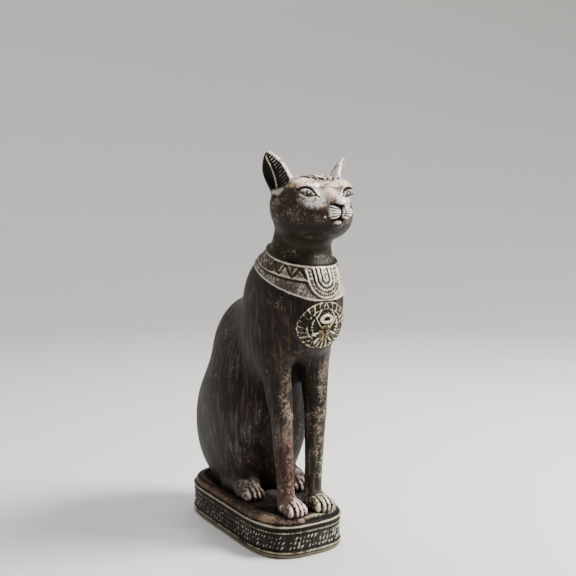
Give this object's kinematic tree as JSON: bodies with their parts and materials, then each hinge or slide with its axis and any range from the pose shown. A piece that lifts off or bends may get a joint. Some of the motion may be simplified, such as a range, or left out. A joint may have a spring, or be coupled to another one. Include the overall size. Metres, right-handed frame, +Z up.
{
  "type": "bastet cat figure",
  "caption": "Seated cat statuette with a broad collar, pendant and winged scarab on its chest, cast with its low round-ended plinth, the tail laid along the side.",
  "frame": {"origin": "middle of the plinth's flat underside", "axes": "+Z up, the cat faces -Y, +X is the cat's left side; its tail lies along its right side, -X"},
  "size_m": [0.066, 0.16, 0.2531],
  "materials": {
    "resin": "near-black brown patina with dry-brushed silver and copper highlights, satin"
  },
  "bodies": {
    "root": {"cat_figure": "resin"}
  },
  "joints": []
}
